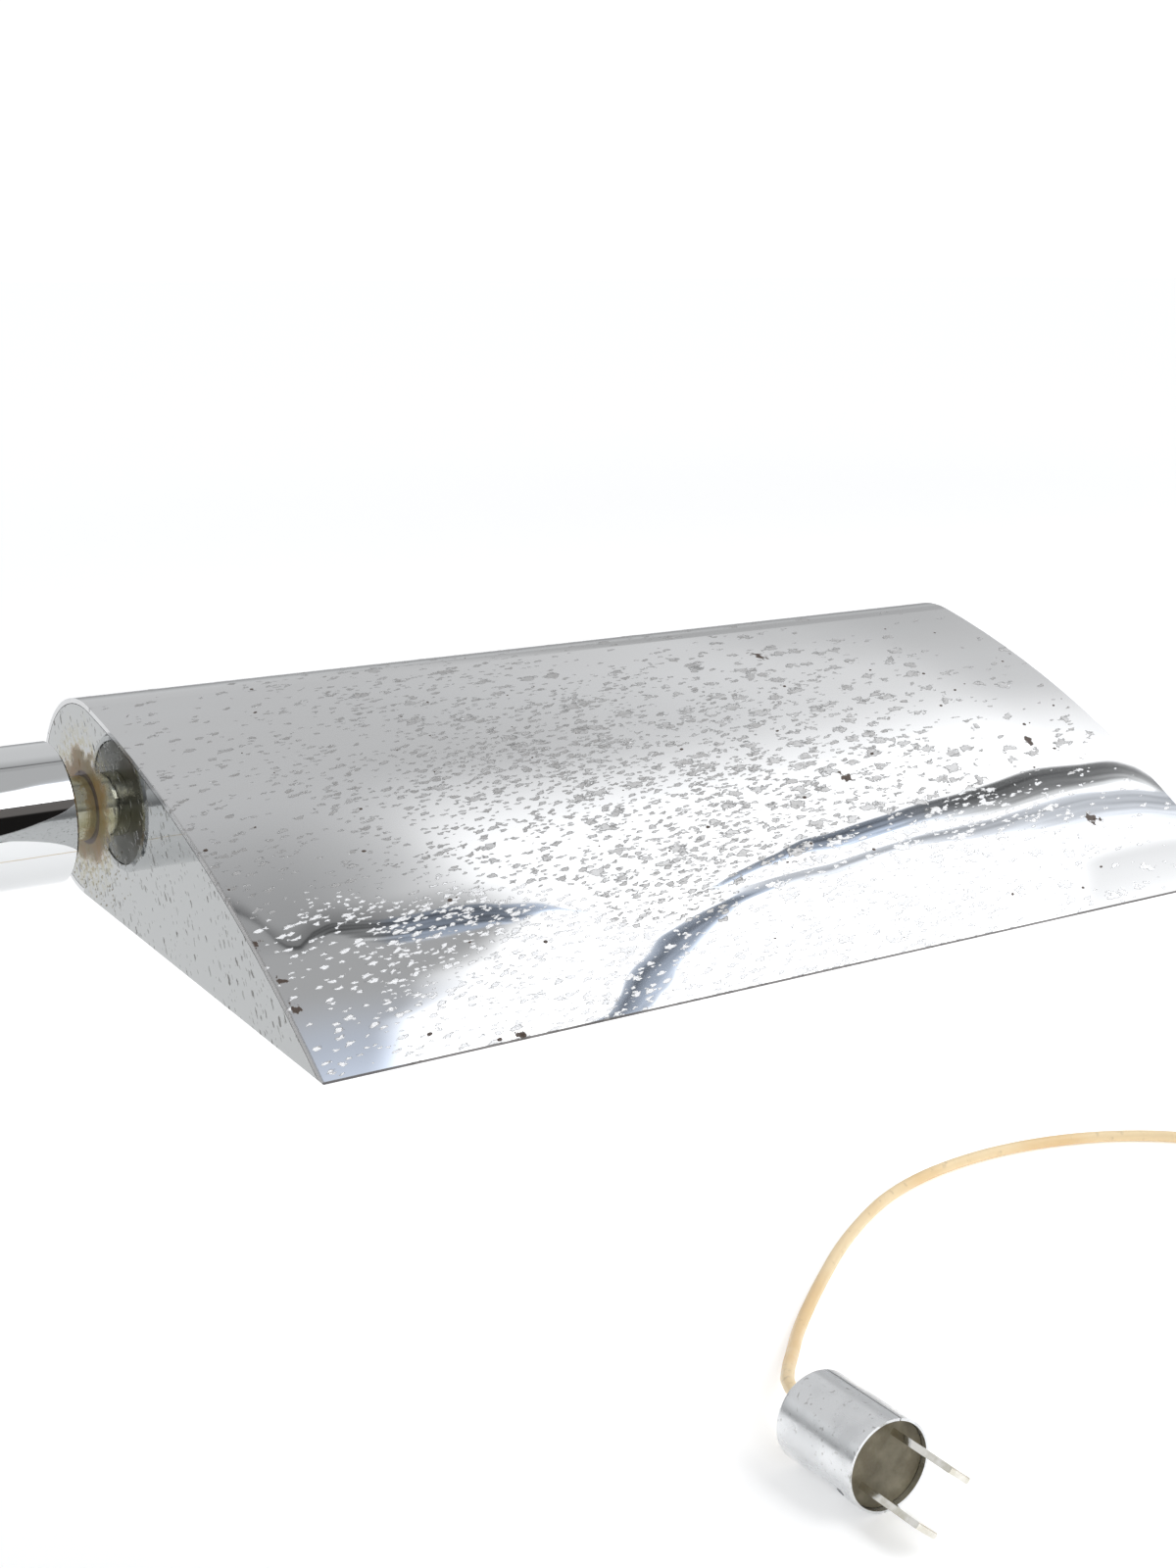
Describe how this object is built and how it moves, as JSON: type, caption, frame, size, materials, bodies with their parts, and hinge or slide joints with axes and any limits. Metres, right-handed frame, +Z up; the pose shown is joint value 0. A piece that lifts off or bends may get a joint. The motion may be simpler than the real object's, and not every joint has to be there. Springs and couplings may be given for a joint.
{
  "type": "desk reading lamp",
  "caption": "Low desk reading lamp: round weighted base, short stem, swivelling level arm and a long chromed teardrop shade that turns on the arm, with a mains cord and plug.",
  "frame": {"origin": "centre of the felt foot, on the table", "axes": "+Z up along the stem, +X along the arm towards the shade, -Y towards the shade's front edge"},
  "size_m": [0.6627, 0.2415, 0.1915],
  "materials": {
    "pitted_chrome": "polished chrome plate with fine pitting, haze and a few rust specks",
    "chrome": "polished chrome plate with light wear",
    "plug_steel": "satin chrome plate on rolled steel",
    "nickel": "dull nickel plate",
    "zinc_steel": "zinc-plated steel",
    "brass": "turned brass",
    "cast_iron": "rough cast iron",
    "felt": "dark felt",
    "fibre": "pale fibre or nylon",
    "rubber": "cream rubber",
    "cord": "cream vinyl, slightly yellowed",
    "wire": "thin insulated wire",
    "tan_moulding": "tan moulded insulator",
    "black_moulding": "black moulded insulator",
    "porcelain": "unglazed porcelain",
    "liner": "satin aluminium sheet",
    "bulb_glass": "frosted glass"
  },
  "bodies": {
    "base": {"felt_pad": "felt", "base_plate": "zinc_steel", "plate_screws": "zinc_steel", "base_weight": "cast_iron", "base_cover": "chrome", "base_nipple": "brass", "base_washer": "zinc_steel", "cord_relief": "rubber", "cord_grip": "fibre", "cord_inside": "cord", "stem_wires": "wire", "stem_ring": "chrome", "stem_tube": "chrome", "stem_bushes": "brass", "swivel_pin": "brass", "swivel_washer": "fibre", "swivel_spring": "zinc_steel", "stem_nuts": "zinc_steel", "cord_supply": "cord", "cord_coil": "cord", "cord_plug_run": "cord", "plug_shell": "plug_steel", "plug_core": "tan_moulding", "plug_screw": "zinc_steel", "plug_blades": "nickel"},
    "arm": {"knuckle_body": "chrome", "knuckle_cap": "chrome", "arm_nipple": "brass", "arm_collar": "chrome", "arm_tube": "chrome", "arm_rear_bush": "brass", "arm_end_bush": "nickel", "arm_wires": "wire", "switch_housing": "chrome", "switch_mount": "zinc_steel", "switch_nipple": "brass", "switch_nut": "zinc_steel", "switch_body": "black_moulding", "switch_bushing": "brass", "switch_ring_nut": "nickel"},
    "knob": {"switch_knob": "chrome", "switch_shaft": "nickel", "knob_grub_screw": "zinc_steel"},
    "shade": {"shade_wrap": "pitted_chrome", "shade_cap_near": "pitted_chrome", "shade_cap_far": "pitted_chrome", "shade_liner": "liner", "shade_spindle": "nickel", "spindle_spring": "zinc_steel", "spindle_nut": "brass", "shade_washer": "zinc_steel", "shade_nut": "zinc_steel", "socket_cup": "brass", "socket_body": "porcelain", "socket_shell": "brass", "socket_contact": "brass", "bulb_base": "brass", "bulb_glass": "bulb_glass", "bulb_mount": "nickel", "socket_wires": "wire"}
  },
  "joints": [
    {"name": "arm_swing", "type": "hinge", "parent": "base", "child": "arm", "pos_m": [0, 0, 0.1512], "axis": [0, 0, 1], "range_deg": [-165, 165]},
    {"name": "shade_tilt", "type": "hinge", "parent": "arm", "child": "shade", "pos_m": [0.1847, 0, 0.17], "axis": [1, 0, 0], "range_deg": [-95, 85]},
    {"name": "knob_turn", "type": "hinge", "parent": "arm", "child": "knob", "pos_m": [-0.052, 0, 0.17], "axis": [1, 0, 0], "range_deg": [0, 300]}
  ]
}
